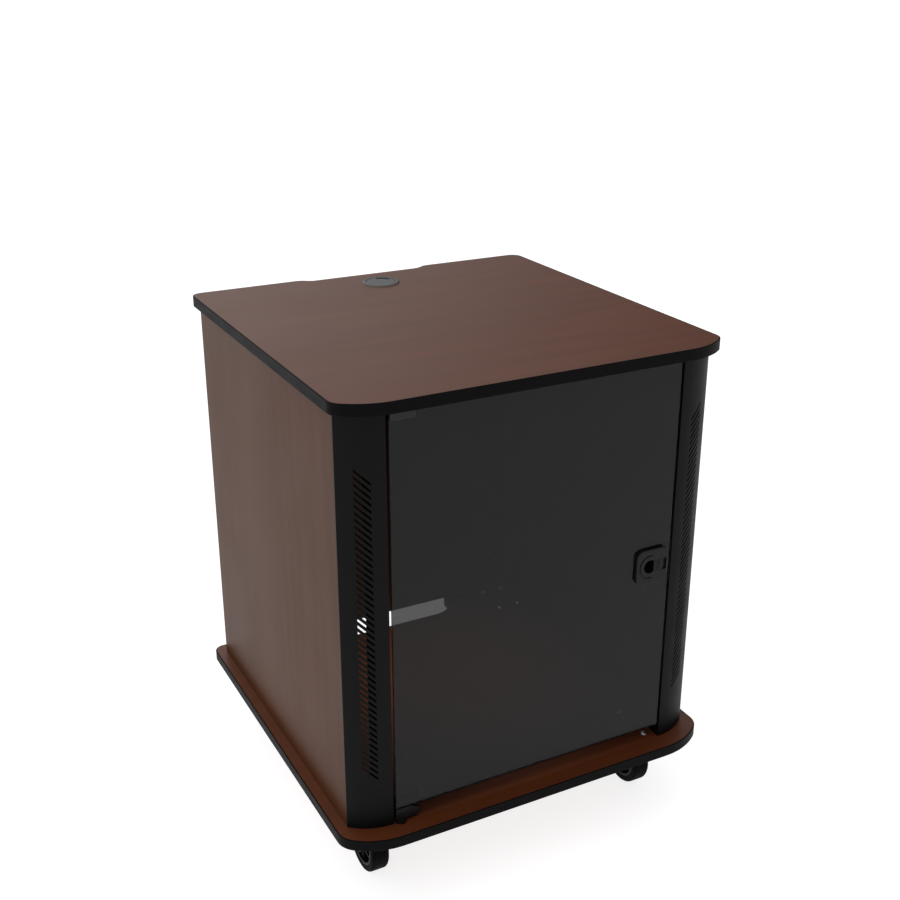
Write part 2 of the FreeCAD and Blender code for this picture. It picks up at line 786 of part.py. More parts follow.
def caster_fork(x, y):
    """A pressed crown with two legs that trail behind the swivel axis."""
    crown = turned("Z", (x, y, as_length(0)), [
        (S.kingpin_radius + running, crown_under), (S.crown_radius, crown_under),
        (S.crown_radius, crown_top - 1), (S.crown_radius - 1, crown_top),
        (S.kingpin_radius + running, crown_top)])
    axle_y = y + S.trail
    end_radius = S.axle_radius * 2.75
    outline = [
        (y - S.crown_radius * 0.8, crown_top - 1), (axle_y - end_radius, S.wheel_radius),
        arc(end_radius, (axle_y, S.wheel_radius)), (axle_y, S.wheel_radius - end_radius),
        arc(end_radius, (axle_y, S.wheel_radius)), (axle_y + end_radius, S.wheel_radius),
        (y + S.crown_radius * 0.8, crown_top - 1)]
    right_leg = prism("YZ", x + leg_in, x + leg_out, outline)
    left_leg = prism("YZ", x - leg_out, x - leg_in, outline)
    bridge = block((x - leg_out, y - S.crown_radius * 0.8, crown_under),
                   (x + leg_out, y + S.crown_radius * 0.8, crown_top - 1))
    pin_hole = rod("Z", (x, y), crown_under - 1, crown_top + 1, S.kingpin_radius + running)
    axle_hole = rod("X", (axle_y, S.wheel_radius), x - leg_out - 1, x + leg_out + 1,
                    S.axle_radius)
    return cut(join(crown, bridge, right_leg, left_leg), pin_hole, axle_hole)


def caster_axle(x, y):
    head = S.axle_radius * 1.6
    return turned("X", (x, y + S.trail, S.wheel_radius), [
        (0, -leg_out - 3), (head - 1, -leg_out - 3), (head, -leg_out - 2), (head, -leg_out),
        (S.axle_radius, -leg_out), (S.axle_radius, leg_out), (head, leg_out),
        (head, leg_out + 2), (head - 1, leg_out + 3), (0, leg_out + 3)])


def caster_tyre(x, y):
    half = S.wheel_width / 2
    shoulder = S.tyre_shoulder
    crown = S.wheel_radius - shoulder
    return turned("X", (x, y + S.trail, S.wheel_radius), [
        (S.hub_radius, -half + 1), (S.hub_radius + 3, -half), (crown, -half),
        arc(shoulder, (crown, -half + shoulder)), (S.wheel_radius, -half + shoulder),
        (S.wheel_radius, half - shoulder), arc(shoulder, (crown, half - shoulder)),
        (crown, half), (S.hub_radius + 3, half), (S.hub_radius, half - 1)])


def caster_hub(x, y):
    """A wheel centre with a thin web between its rim and its boss."""
    half = S.wheel_width / 2
    web = S.wheel_web / 2
    rim = S.hub_radius - 4
    boss = S.axle_radius * 2.4
    bearing = S.axle_radius + running
    end = half + S.fork_side_gap - 0.5
    return turned("X", (x, y + S.trail, S.wheel_radius), [
        (bearing, -end), (boss, -end), (boss + 1, -web), (rim, -web), (rim, -half + 1),
        (S.hub_radius, -half + 1), (S.hub_radius, half - 1), (rim, half - 1), (rim, web),
        (boss + 1, web), (boss, end), (bearing, end)])


plates = []
for name, side, caster_y in CASTERS:
    centre = (caster_x * side, caster_y)
    plates.append(caster_plate(*centre))
    node(caster_fork(*centre), f"{name}_caster_fork")
    node(caster_axle(*centre), f"{name}_caster_axle")
    node(caster_tyre(*centre), f"{name}_tyre")
    node(caster_hub(*centre), f"{name}_wheel_hub")
node(cut(group(*plates), caster_bolts), "caster_plates")


# ---- Rear hinges and keeper on the carcass --------------------------------

rear_side = side_in - S.rear_gap
rear_face = panel_back
rear_inner = rear_face - S.rear_thick
hinge_levels = (base_top + S.hinge_up, top_under - S.hinge_up)
cup_x = rear_side - S.cup_hinge_edge - S.cup_hinge_radius


def hinge_screws(level):
    """Two screws that hold a hinge plate to the side panel."""
    made = []
    head_low = side_in - S.hinge_sheet - S.screw_head
    for side in (-1, 1):
        across = (rear_inner - S.hinge_plate_back, level + S.hinge_screw_rise * side)
        head = rod("X", across, head_low, side_in - S.hinge_sheet, S.hinge_screw * 1.9)
        shank = rod("X", across, head_low, side_in + S.screw_bite, S.hinge_screw)
        made.append(join(head, shank))
    return made


plate_screws = group(*hinge_screws(hinge_levels[0]), *hinge_screws(hinge_levels[1]))


def hinge_plate(level):
    inner_face = side_in - S.hinge_sheet
    middle = rear_inner - S.hinge_plate_back
    wing = S.hinge_screw_rise + 6
    foot = block((inner_face, middle - 12, level - 9), (side_in, middle + 22, level + 9))
    wings = block((inner_face, middle - 6, level - wing), (side_in, middle + 6, level + wing))
    return join(foot, wings)


def hinge_arm(level):
    """The arm on the plate, reaching to just in front of the cup."""
    arm_face = side_in - S.hinge_arm_rise
    arm_end = rear_inner - 3
    body = block((arm_face, rear_inner - S.hinge_plate_back - 20, level - 7),
                 (side_in - S.hinge_sheet, arm_end, level + 7))
    reach = block((cup_x - 4, arm_end - 8, level - 5.5), (arm_face, arm_end, level + 5.5))
    return join(body, reach)


node(cut(group(*[hinge_plate(level) for level in hinge_levels]), plate_screws),
     "rear_hinge_plates")
node(group(*[hinge_arm(level) for level in hinge_levels]), "rear_hinge_arms")

lock_x = S.lock_edge - rear_side
lock_z = (base_top + top_under) / 2
cam_back = rear_inner - 9
cam_front = cam_back - S.cam_thick
keeper_low = cam_back + S.keeper_clear
node(block((-side_in, keeper_low, lock_z - 25), (-side_in + 12, rear_inner - 1, lock_z + 25)),
     "rear_lock_keeper")

node(cut(right_panel_blank, right_dowels, plate_screws), "right_side_panel")
node(mirrored(cut(right_panel_blank, right_dowels)), "left_side_panel")


# ---- Finished boards ------------------------------------------------------

all_screws = group(right_screws, left_screws)
node(cut(base_core, right_dowels, left_dowels, lower_bush_bore, all_screws, caster_bolts),
     "base_board")
node(cut(top_core, right_dowels, left_dowels, upper_bush_bore, all_screws, grommet_bore),
     "top_board")


# ---- Glass door -----------------------------------------------------------

def rounded(low_x, low_z, high_x, high_z, radius):
    """A rectangle with rounded corners, in the order that an outline is drawn."""
    return [
        (low_x + radius, low_z), (high_x - radius, low_z),
        arc(radius, (high_x - radius, low_z + radius)),
        (high_x, low_z + radius), (high_x, high_z - radius),
        arc(radius, (high_x - radius, high_z - radius)),
        (high_x - radius, high_z), (low_x + radius, high_z),
        arc(radius, (low_x + radius, high_z - radius)),
        (low_x, high_z - radius), (low_x, low_z + radius),
        arc(radius, (low_x + radius, low_z + radius))]


glass_blank = prism("XZ", face, glass_back,
                    rounded(-glass_side, glass_low, glass_side, glass_high, S.glass_corner))
cutout_half = S.boss_high / 2 + S.cutout_clear
cutout = block(
    (latch_x - S.boss_left - S.cutout_clear, face - PAST, latch_z - cutout_half),
    (latch_x + S.boss_right + S.cutout_clear, glass_back + PAST, latch_z + cutout_half))
screw_rise = S.boss_high / 2 + S.latch_screw_clear
screw_holes = [
    rod("Y", (latch_x, latch_z + screw_rise * side), face - PAST, glass_back + PAST,
        S.latch_screw * 1.2)
    for side in (-1, 1)]
node(cut(glass_blank, cutout, *screw_holes), "door_glass")

clamp_x = S.clamp_width - glass_side
pad = S.pad_thick
clamp_low = glass_high - S.clamp_grip
clamp_high = top_under - S.clamp_clear
glass_in_clamp = block((-glass_side, face, clamp_low), (clamp_x, glass_back, glass_high))
clamp_pocket = block((-glass_side, face - pad, clamp_low),
                     (clamp_x, glass_back + pad, glass_high + pad))
clamp_block = block((-glass_side, face - S.clamp_skin, clamp_low),
                    (clamp_x, glass_back + S.clamp_skin, clamp_high))
shoe_low = base_top + S.shoe_clear
shoe_seat = glass_low - pad
lip_front = glass_back + pad
lip_high = glass_low + S.shoe_lip


def grub_screws(level, start, end):
    """Two socket screws that press a pad against the back of the glass."""
    return [rod("Y", (clamp_x - S.clamp_width * share, level), start, end, 2.5)
            for share in (0.25, 0.6)]


clamp_screws = node(group(
    *grub_screws((clamp_low + glass_high) / 2, glass_back + pad, glass_back + S.clamp_skin + 1),
    *grub_screws((glass_low + lip_high) / 2, lip_front, lip_front + S.clamp_skin + 1)),
    "clamp_screws")

pin_foot = glass_high + pad
upper_pin = rod("Z", (pivot_x, pivot_y), pin_foot, top_under + S.bush_deep - 2, S.pivot_pin)
lower_pin = rod("Z", (pivot_x, pivot_y), base_top - S.bush_deep + 2, shoe_low + 10, S.pivot_pin)
node(upper_pin, "upper_pivot_pin")
node(lower_pin, "lower_pivot_pin")

node(cut(clamp_block, clamp_pocket, upper_pin, clamp_screws), "upper_glass_clamp")
shoe = prism("XZ", face - 0.5, lip_front + S.clamp_skin, [
    (-glass_side, shoe_low), (clamp_x - 4, shoe_low), (clamp_x, shoe_low + 3),
    (clamp_x, shoe_seat - 7), (clamp_x - 14, shoe_seat), (-glass_side, shoe_seat)])
lip = block((-glass_side, lip_front, shoe_seat - 7), (clamp_x, lip_front + S.clamp_skin, lip_high))
node(cut(join(shoe, lip), lower_pin, clamp_screws), "lower_glass_shoe")
shoe_pads = join(
    block((-glass_side, face, shoe_seat), (clamp_x - 14, lip_front, glass_low)),
    block((-glass_side, glass_back, shoe_seat), (clamp_x, lip_front, lip_high)))
node(group(cut(clamp_pocket, glass_in_clamp), shoe_pads), "glass_pads")


# ---- Thumb latch ----------------------------------------------------------

half_wide = S.latch_width / 2
half_tall = S.latch_height / 2
plate_outline = rounded(latch_x - half_wide, latch_z - half_tall,
                        latch_x + half_wide, latch_z + half_tall, S.latch_corner)
cup_centre_x = latch_x - S.cup_offset
boss_end = glass_back + S.latch_behind


def around_latch(left, right, front, rear, half):
    """A block placed from the latch centre, half as tall each way as it says."""
    return block((latch_x + left, front, latch_z - half), (latch_x + right, rear, latch_z + half))


latch_plate = prism("XZ", plate_face, face, plate_outline)
doc.recompute()
plate_rounding = doc.addObject("Part::Fillet", "rounding")
plate_rounding.Base = latch_plate
plate_rounding.Edges = [
    (index, S.edge_ease.number * 2, S.edge_ease.number * 2)
    for index, edge in enumerate(latch_plate.Shape.Edges, start=1)
    if edge.BoundBox.YMax < plate_face.number + 0.01]
boss = around_latch(-S.boss_left, S.boss_right, face - 1, boss_end, S.boss_high / 2)
finger_cup = rod("Y", (cup_centre_x, latch_z), plate_face - 1, boss_end - 2, S.cup_radius)
ring_cut = cut(
    rod("Y", (cup_centre_x, latch_z), plate_face - 1, plate_face + S.ring_deep, S.ring_radius),
    rod("Y", (cup_centre_x, latch_z), plate_face - 2, plate_face + S.ring_deep + 1,
        S.ring_radius - S.ring_gap))
ring_groove = common(ring_cut, around_latch(-half_wide, -1, plate_face - 1, face, half_tall))
tab_end = S.tab_start + S.tab_width
gap = S.slide_clearance
tab_recess = around_latch(S.tab_start - gap, tab_end + S.latch_travel + gap,
                          plate_face - 1, plate_face + S.tab_thick + gap, S.tab_height / 2 + gap)
neck_end = S.neck_start + S.neck_width
neck_slot = around_latch(S.neck_start - gap, neck_end + S.latch_travel + gap,
                         plate_face - 1, bolt_front + 1, S.neck_height / 2 + gap)
bolt_tunnel = around_latch(S.tab_start - 1, S.boss_right + 1, bolt_front - gap, bolt_back + gap,
                           S.bolt_height / 2 + gap)
cup_wall = around_latch(-S.boss_left, S.tab_start - 2, face, boss_end, S.boss_high / 2)
cup_room = common(finger_cup, join(
    cup_wall, around_latch(-half_wide, S.tab_start - 2, plate_face - 1, face, half_tall)))
backplate_back = glass_back + 2
latch_screw_end = backplate_back + S.screw_head
latch_screw_set = [
    join(rod("Y", (latch_x, latch_z + screw_rise * side), plate_face + 2, latch_screw_end,
             S.latch_screw),
         rod("Y", (latch_x, latch_z + screw_rise * side), backplate_back, latch_screw_end,
             S.latch_screw * 1.8))
    for side in (-1, 1)]
latch_screws = node(group(*latch_screw_set), "latch_screws")
node(cut(join(plate_rounding, boss), cup_room, ring_groove, tab_recess, neck_slot, bolt_tunnel,
         latch_screws), "latch_housing")
backplate = cut(
    prism("XZ", glass_back, backplate_back, rounded(
        latch_x - half_wide + 2, latch_z - half_tall + 2,
        latch_x + half_wide - 2, latch_z + half_tall - 2, S.latch_corner - 2)),
    around_latch(-S.boss_left, S.boss_right, glass_back - PAST, backplate_back + PAST,
                 S.boss_high / 2),
    latch_screws)
node(backplate, "latch_backplate")

RIDGES = (0.3, 0.5, 0.7)
tab_plate = around_latch(S.tab_start, tab_end, plate_face, plate_face + S.tab_thick,
                         S.tab_height / 2)
ridges = [
    around_latch(S.tab_start + S.tab_width * share - 0.6, S.tab_start + S.tab_width * share + 0.6,
                 plate_face - 0.8, plate_face + 1, S.tab_height / 2 - 3)
    for share in RIDGES]
neck = around_latch(S.neck_start, neck_end, plate_face + 1, bolt_front, S.neck_height / 2)
node(join(tab_plate, *ridges, neck), "latch_thumb_tab")

nose_x = glass_side + S.bolt_nose
half_bolt = S.bolt_height / 2
bolt_bar = prism("XY", latch_z - half_bolt, latch_z + half_bolt, [
    (latch_x + S.tab_start, bolt_front), (nose_x, bolt_front), (nose_x, bolt_back - 1.5),
    (nose_x - 1.5, bolt_back), (latch_x + S.tab_start, bolt_back)])
node(bolt_bar, "latch_bolt")

strike_x = post_in - S.strike_thick
strike_front = face + 2
strike_back = strike_front + S.strike_deep
strike_half = S.strike_height / 2
bolt_window = block((strike_x - 1, bolt_front - 1, latch_z - half_bolt - 1),
                    (post_in + S.post_sheet + 1, bolt_back + 1, latch_z + half_bolt + 1))
strike_screws = group(*[
    join(rod("X", (strike_back - 7, latch_z + (strike_half - 8) * side),
             strike_x, post_in + S.post_sheet + 5, 1.8),
         rod("X", (strike_back - 7, latch_z + (strike_half - 8) * side),
             strike_x, post_in, 3.2))
    for side in (-1, 1)])
node(group(plate_screws, strike_screws), "fitting_screws")
strike = block((strike_x, strike_front, latch_z - strike_half),
               (post_in, strike_back, latch_z + strike_half))
node(cut(strike, bolt_window, strike_screws), "strike_plate")
node(cut(riveted_post, bolt_window, strike_screws), "right_corner_post")


# ---- Rear door ------------------------------------------------------------

rear_low = base_top + S.rear_gap
rear_high = top_under - S.rear_gap
thin = S.thin_band
cup_back = rear_inner + S.cup_hinge_deep
cup_bores = [rod("Y", (cup_x, level), rear_inner, cup_back, S.cup_hinge_radius)
             for level in hinge_levels]


def hinge_cup(level):
    """A flanged steel cup let into the rear door."""
    flange = block((cup_x - 6, rear_inner - 1.5, level - 26), (cup_x + 6, rear_inner, level + 26))
    round_flange = rod("Y", (cup_x, level), rear_inner - 1.5, rear_inner, S.cup_hinge_radius + 1.5)
    wall = rod("Y", (cup_x, level), rear_inner, cup_back, S.cup_hinge_radius)
    hollow = rod("Y", (cup_x, level), rear_inner - 2, cup_back - 1, S.cup_hinge_radius - 2)
    return cut(join(flange, round_flange, wall), hollow)


node(group(*[hinge_cup(level) for level in hinge_levels]), "rear_hinge_cups")

lock_bore = rod("Y", (lock_x, lock_z), rear_inner, rear_face, S.lock_barrel)
rear_core = block((thin - rear_side, rear_inner, rear_low + thin),
                  (rear_side - thin, rear_face, rear_high - thin))
rear_blank = block((-rear_side, rear_inner, rear_low), (rear_side, rear_face, rear_high))
node(cut(rear_core, lock_bore, *cup_bores), "rear_door_panel")
node(cut(rear_blank, rear_core), "rear_door_edge_band")

plug_bore = S.lock_plug + S.pin_clearance
lock_body = turned("Y", (lock_x, rear_face, lock_z), [
    (plug_bore, -S.rear_thick - 8), (S.lock_barrel, -S.rear_thick - 8), (S.lock_barrel, 0),
    (S.lock_barrel + 3, 0), (S.lock_barrel + 3, 1), (S.lock_barrel + 1.5, 2.5),
    (plug_bore, 2.5)])
node(lock_body, "rear_lock_body")
lock_nut = turned("Y", (lock_x, rear_inner, lock_z), [
    (S.lock_barrel, -4), (S.lock_barrel + 4, -4), (S.lock_barrel + 4, 0), (S.lock_barrel, 0)])
node(lock_nut, "rear_lock_nut")

key_slot = block((lock_x - 0.8, rear_face + 0.5, lock_z - 3.5),
                 (lock_x + 0.8, rear_face + 4, lock_z + 3.5))
plug = rod("Y", (lock_x, lock_z), cam_back, rear_face + 2.3, S.lock_plug)
node(cut(plug, key_slot), "rear_lock_plug")
cam = join(
    rod("Y", (lock_x, lock_z), cam_front, cam_back, S.lock_plug + 2),
    block((lock_x - S.lock_plug, cam_front, lock_z - S.cam_length),
          (lock_x + S.lock_plug, cam_back, lock_z)))
node(cam, "rear_lock_cam")


# ---- Tests and files ------------------------------------------------------

doc.recompute()
faults = [item.Name for item in doc.Objects
          if "Invalid" in item.State or "Error" in item.State]
for item in nodes:
    if item.Shape.isNull() or not item.Shape.isValid() or not item.Shape.Solids:
        faults.append(item.Label)
if faults:
    raise RuntimeError(f"failed objects: {faults}")

os.makedirs("parts", exist_ok=True)
for item in nodes:
    item.Shape.exportStep(f"parts/{item.Label}.step")
    print(item.Label, len(item.Shape.Solids), round(item.Shape.Volume))
print(len(nodes), "nodes")
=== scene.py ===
# %% [markdown]
# # Dressing a mobile equipment lectern
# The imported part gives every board, post, hinge and wheel in its true place, in metres, with
# the floor at Z = 0 and the glass door facing -Y. This lesson leaves all of that where it is.
# It gives each piece the finish of the real material, and rebuilds the few pieces whose small
# shapes catch the eye: wheels, screw heads, and parts whose edges are rounded in real life.

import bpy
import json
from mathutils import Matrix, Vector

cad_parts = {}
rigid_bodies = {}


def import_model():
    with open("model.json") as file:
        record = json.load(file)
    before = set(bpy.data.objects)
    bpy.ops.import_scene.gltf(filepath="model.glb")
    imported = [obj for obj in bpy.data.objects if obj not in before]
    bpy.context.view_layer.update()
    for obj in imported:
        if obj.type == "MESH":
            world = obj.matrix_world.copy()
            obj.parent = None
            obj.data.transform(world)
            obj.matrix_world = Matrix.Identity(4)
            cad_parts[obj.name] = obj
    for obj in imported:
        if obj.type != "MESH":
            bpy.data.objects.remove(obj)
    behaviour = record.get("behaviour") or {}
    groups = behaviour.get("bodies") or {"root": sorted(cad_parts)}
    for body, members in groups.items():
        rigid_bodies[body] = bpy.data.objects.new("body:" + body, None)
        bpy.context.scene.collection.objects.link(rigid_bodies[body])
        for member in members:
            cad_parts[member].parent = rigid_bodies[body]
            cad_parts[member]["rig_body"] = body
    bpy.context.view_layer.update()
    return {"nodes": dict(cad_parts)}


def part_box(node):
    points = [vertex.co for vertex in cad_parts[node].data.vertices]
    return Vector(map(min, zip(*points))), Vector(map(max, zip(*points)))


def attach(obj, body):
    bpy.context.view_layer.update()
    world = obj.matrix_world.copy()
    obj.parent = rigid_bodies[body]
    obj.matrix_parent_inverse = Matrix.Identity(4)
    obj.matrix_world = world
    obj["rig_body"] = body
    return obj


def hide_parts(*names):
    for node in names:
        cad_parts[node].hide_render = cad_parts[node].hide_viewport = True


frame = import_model()
nodes = frame["nodes"]

# %% [markdown]
# ## The camera
# The cabinet is looked down on from its front left corner, with a plain 50 mm lens on a
# 36 mm sensor. The camera is level from side to side, so two angles say where it looks: the
# tilt down and the turn about Z. Blender's camera looks down its own -Z axis, so a level one
# has an X rotation of 90 degrees.

# %% Place the camera
import json
import math

import bmesh
import bpy
import numpy as np
from mathutils import Matrix, Vector

LENS_MM = 50
SENSOR_MM = 36
TILT_DOWN = 22.023
TURN = -27.606
camera_data = bpy.data.cameras.new("camera")
camera_data.lens = LENS_MM
camera_data.sensor_width = SENSOR_MM
camera = bpy.data.objects.new("camera", camera_data)
camera.location = (-0.9408, -1.8103, 1.4616)
camera.rotation_euler = (math.radians(90 - TILT_DOWN), 0, math.radians(TURN))
bpy.context.scene.collection.objects.link(camera)
bpy.context.scene.camera = camera
print("camera at", tuple(camera.location))

# %% [markdown]
# ## Three small helpers for materials
# Paint charts give colours as sRGB hex values, but light is added up in linear numbers, so
# one function turns one into the other. A second function adds a node to a material: its
# settings, the values typed into its sockets, and the links that feed it. A third starts a
# material and sets the numbers that are the same all over on the shader itself.

# %% Helpers for materials
MM = 0.001


def colour(code):
    """The linear colour of an sRGB hex value such as #5a2a12."""
    channels = [int(code[i:i + 2], 16) / 255 for i in (1, 3, 5)]
    linear = [c / 12.92 if c <= 0.04045 else ((c + 0.055) / 1.055) ** 2.4 for c in channels]
    return (*linear, 1.0)


def add(tree, kind, values=None, feeds=None, **settings):
    """Adds a node. values fill its sockets, feeds link outputs to them; returns its outputs."""
    made = tree.nodes.new(kind)
    for setting, value in settings.items():
        setattr(made, setting, value)
    for socket, value in (values or {}).items():
        made.inputs[socket].default_value = value
    for socket, source in (feeds or {}).items():
        tree.links.new(source, made.inputs[socket])
    return made.outputs


def start(name, **sockets):
    """A new material: its node tree, its Principled shader, and the place on the object."""
    material = bpy.data.materials.new(name)
    material.use_nodes = True
    tree = material.node_tree
    shader = tree.nodes["Principled BSDF"]
    for socket, value in sockets.items():
        shader.inputs[socket.replace("_", " ")].default_value = value
    place = add(tree, "ShaderNodeTexCoord")["Object"]
    return material, tree, shader, place


# %% [markdown]
# ## Printed laminate
# The boards and panels are chipboard faced with melamine laminate: paper printed with a
# reddish brown cherry grain, pressed under resin to a satin sheet. The eye gets long soft
# streaks along the board, a few finer lines in them, and a smooth even sheen, because the
# grain is printed under the resin. An image texture would do, but noise stretched along one
# axis gives the same streaks from numbers alone: 26 mm across the grain by 420 mm along it.
# Real printed pores are 0.3 mm wide, too fine to show, so the lines are drawn 2.5 mm wide.

# %% Laminate, with the grain along X, or along Z with painted shade
FIGURE_MM = (26, 420)
LINE_MM = (2.5, 130)
SHEEN_PATCH_MM = 160


def stretched(tree, place, sizes, along):
    """Noise whose patches are sizes[0] mm across the grain and sizes[1] mm along it."""
    scale = [1 / (sizes[0] * MM)] * 3
    scale[along] = 1 / (sizes[1] * MM)
    grain_place = add(tree, "ShaderNodeMapping", {"Scale": scale}, {"Vector": place})[0]
    return add(tree, "ShaderNodeTexNoise",
               {"Scale": 1.0, "Detail": 4.0, "Roughness": 0.55, "Distortion": 0.5},
               {"Vector": grain_place})[0]


def laminate(name, along, tones, **sockets):
    """tones are the dark and pale of the figure, then the colour of the fine lines."""
    material, tree, shader, place = start(name, **sockets)
    figure = stretched(tree, place, FIGURE_MM, along)
    lines = stretched(tree, place, LINE_MM, along)
    tone = add(tree, "ShaderNodeMapRange", {"From Min": 0.3, "From Max": 0.72},
               {"Value": figure})[0]
    body = add(tree, "ShaderNodeMix", {6: colour(tones[0]), 7: colour(tones[1])},
               {0: tone}, data_type="RGBA")[2]
    line = add(tree, "ShaderNodeMapRange",
               {"From Min": 0.56, "From Max": 0.7, "To Max": 0.35}, {"Value": lines})[0]
    tinted = add(tree, "ShaderNodeMix", {7: colour(tones[2])}, {0: line, 6: body},
                 data_type="RGBA")[2]
    broad = add(tree, "ShaderNodeTexNoise", {"Scale": 1000 / SHEEN_PATCH_MM, "Detail": 2.0},
                {"Vector": place})[0]
    satin = add(tree, "ShaderNodeMapRange", {"To Min": 0.34, "To Max": 0.44},
                {"Value": broad})[0]
    relief = add(tree, "ShaderNodeBump", {"Strength": 0.5, "Distance": 0.03 * MM},
                 {"Height": lines})[0]
    for socket, source in (("Base Color", tinted), ("Roughness", satin), ("Normal", relief)):
        tree.links.new(source, shader.inputs[socket])
    return material


laminate_across = laminate("melamine_laminate_cherry_across", 0,
                           ("#522710", "#5d2e13", "#401e0c"), Specular_IOR_Level=0.46)
# Painted shade: the upright copy's tones are darker than the boards', and its sheen weaker, for
# the sides that get less light.
laminate_upright_shaded = laminate("melamine_laminate_cherry_upright_painted_shade", 2,
                            ("#42230e", "#4b2911", "#35190a"), Specular_IOR_Level=0.06)
print("made", laminate_across.name, "and", laminate_upright_shaded.name)

# %% [markdown]
# ## Painted, moulded, plated and machined surfaces
# The other solid finishes share one build: two close tones in slow patches, which also move
# the roughness a little, and a fine relief from a second noise. What makes one a powder coat
# and another a moulded plastic is the numbers: the grit of the relief, how deep it is, how
# rough it is, and whether it is drawn out along one axis, as extruding and brushing do.
# One function with those numbers is easier to keep true than a dozen node trees.

# %% A finish from its own numbers


def surface(name, tones, patch_mm, grit_mm, relief_mm, roughness, drawn=(1, 1, 1), **sockets):
    """patch_mm and grit_mm are pattern sizes, relief_mm its height, roughness a range."""
    material, tree, shader, place = start(name, **sockets)
    pulled = add(tree, "ShaderNodeMapping", {"Scale": drawn}, {"Vector": place})[0]
    patches = add(tree, "ShaderNodeTexNoise", {"Scale": 1000 / patch_mm, "Detail": 3.0},
                  {"Vector": pulled})[0]
    spread = add(tree, "ShaderNodeMapRange", {"From Min": 0.3, "From Max": 0.7},
                 {"Value": patches})[0]
    tint = add(tree, "ShaderNodeMix", {6: colour(tones[0]), 7: colour(tones[1])},
               {0: spread}, data_type="RGBA")[2]
    matt = add(tree, "ShaderNodeMapRange", {"To Min": roughness[0], "To Max": roughness[1]},
               {"Value": spread})[0]
    grit = add(tree, "ShaderNodeTexNoise", {"Scale": 1000 / grit_mm, "Detail": 2.0},
               {"Vector": pulled})[0]
    relief = add(tree, "ShaderNodeBump", {"Strength": 0.6, "Distance": relief_mm * MM},
                 {"Height": grit})[0]
    for socket, source in (("Base Color", tint), ("Roughness", matt), ("Normal", relief)):
        tree.links.new(source, shader.inputs[socket])
    return material


finishes = {
    # ABS banding is extruded as a strip, so it keeps faint lines along its length and
    # a satin shine that shows where the edge is eased.
    "edge_banding": surface("extruded_abs_banding_black", ("#09090a", "#0d0d0e"), 40, 1.6,
                            0.02, (0.46, 0.54), drawn=(1, 1, 6), Specular_IOR_Level=0.04),
    # Polyester powder coat bakes into a fine orange peel about 1.5 mm from bump to bump.
    # It eats highlights, so the posts look flat black and pale only at a grazing angle.
    "post_steel": surface("powder_coated_steel_black", ("#070708", "#0b0b0c"), 60, 1.5,
                          0.03, (0.5, 0.58), Specular_IOR_Level=0.1),
    "caster_steel": surface("electrocoated_steel_black", ("#050505", "#080808"), 20, 0.9,
                            0.02, (0.42, 0.52), Specular_IOR_Level=0.15),
    # Zinc plate is passivated, which leaves faint blue and straw patches a few mm wide.
    "bracket_steel": surface("black_zinc_plated_steel", ("#1a1b1e", "#26262a"), 9, 0.8,
                             0.01, (0.36, 0.46), Metallic=0.8),
    "zinc_hardware": surface("zinc_plated_steel_bright", ("#b9bfc6", "#cbc9bd"), 6, 0.5,
                             0.01, (0.24, 0.36), Metallic=1.0),
    # Nickel is warmer than zinc and polished before plating, so it mirrors more clearly.
    "nickel": surface("nickel_plated_steel", ("#b3aea3", "#c4bfb4"), 8, 0.4,
                      0.006, (0.16, 0.26), Metallic=1.0),
    # Zinc alloy castings are tumbled and lacquered black: satin, with soft shallow waves.
    "hinge_black": surface("lacquered_zinc_casting_black", ("#0b0b0c", "#121213"), 12, 2.2,
                           0.03, (0.34, 0.44), Specular_IOR_Level=0.3),
    # Glass-filled nylon and ABS leave the mould with a spark-eroded texture of 0.6 mm grit.
    # The grommet is black ABS; its tones are raised to a dark grey, painted light for the light
    # from overhead on its flange.
    "latch_black": surface("moulded_nylon_black", ("#060607", "#0a0a0b"), 14, 0.6,
                           0.02, (0.4, 0.5), Specular_IOR_Level=0.2),
    "grommet_black": surface("moulded_abs_dark_grey", ("#464849", "#4d4f50"), 16, 0.6,
                             0.02, (0.42, 0.5), Specular_IOR_Level=0.6),
    "wheel_centre": surface("moulded_polypropylene_black", ("#060606", "#0a0a0a"), 12, 0.7,
                            0.02, (0.45, 0.55), Specular_IOR_Level=0.15),
    # Rubber holds dust and scuffs, so it is greyer and rougher than plastic.
    "caster_tyre": surface("moulded_rubber_black", ("#040404", "#080707"), 9, 0.8,
                           0.05, (0.6, 0.75), Specular_IOR_Level=0.05),
    "rubber_pad": surface("cut_neoprene_black", ("#0f0f0f", "#161616"), 6, 0.7,
                          0.03, (0.65, 0.8), Specular_IOR_Level=0.2),
    # A turned nylon washer is smooth and slightly greasy, and black so that it disappears.
    "nylon": surface("turned_nylon_black", ("#0b0b0c", "#111112"), 6, 0.8,
                     0.01, (0.35, 0.45), Specular_IOR_Level=0.3),
    # Beech dowels are fluted and pale, with short fibres that run along the dowel.
    "beech": surface("planed_beech", ("#c39a6b", "#d3ae80"), 2.5, 0.8,
                     0.03, (0.55, 0.68), drawn=(1, 1, 0.08)),
}
print("made", len(finishes), "solid finishes")

# %% [markdown]
# ## Smoked glass
# The door is 5 mm float glass, toughened and tinted grey in the melt. It takes most of
# the light out of what stands behind it, and mirrors a few percent at its face.
# A transmission shader would bend light and cast a black shadow inside the cabinet, where
# flat glass casts a grey one, so this material is part clear through its alpha instead.
# Light goes through two faces, so the share let through at each is the root of the whole.
# Rolled float glass isn't quite flat: waves a hand wide and a hair deep shift the mirror.

